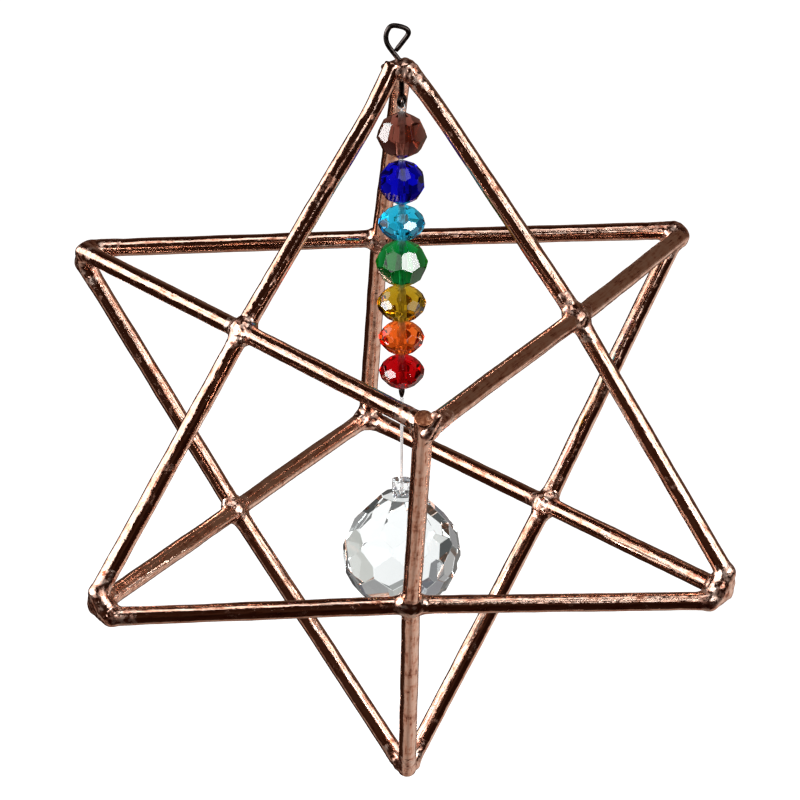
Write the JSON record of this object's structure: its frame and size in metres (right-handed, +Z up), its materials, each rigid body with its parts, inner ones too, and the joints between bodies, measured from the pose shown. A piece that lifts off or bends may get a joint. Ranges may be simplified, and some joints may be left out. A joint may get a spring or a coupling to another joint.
{
  "type": "merkaba pendant",
  "caption": "Hanging merkaba: an open eight-pointed star of soldered copper rod, with a string of cut glass beads and a faceted crystal drop hung inside it.",
  "frame": {"origin": "top of the inside of the hanging eye, where a hook or a cord carries the pendant", "axes": "+Z up along the line that the pendant hangs in, -Y towards the front tip of the star, +X to its right"},
  "size_m": [0.1048, 0.1228, 0.1317],
  "materials": {
    "copper": "polished copper rod, streaked and darkened along its sides, with melted solder at the joints",
    "dark_wire": "dark round wire with thin bright glints",
    "clear_line": "clear nylon line",
    "dark_crimp": "dark pinched metal",
    "crystal_glass": "clear polished cut crystal",
    "brown_glass": "brown polished cut glass",
    "blue_glass": "blue polished cut glass",
    "aqua_glass": "aqua polished cut glass",
    "green_glass": "green polished cut glass",
    "amber_glass": "amber polished cut glass",
    "orange_glass": "orange polished cut glass",
    "red_glass": "red polished cut glass"
  },
  "bodies": {
    "star": {"star_frame": "copper", "hanging_eye": "dark_wire", "bead_line": "clear_line", "brown_bead": "brown_glass", "blue_bead": "blue_glass", "aqua_bead": "aqua_glass", "green_bead": "green_glass", "amber_bead": "amber_glass", "orange_bead": "orange_glass", "red_bead": "red_glass", "line_crimp": "dark_crimp"},
    "crystal": {"crystal_drop": "crystal_glass"}
  },
  "joints": [
    {"name": "crystal_swing", "type": "hinge", "parent": "star", "child": "crystal", "pos_m": [0.0006, 0, -0.0793], "axis": [0, 1, 0], "range_deg": [-60, 60]}
  ]
}
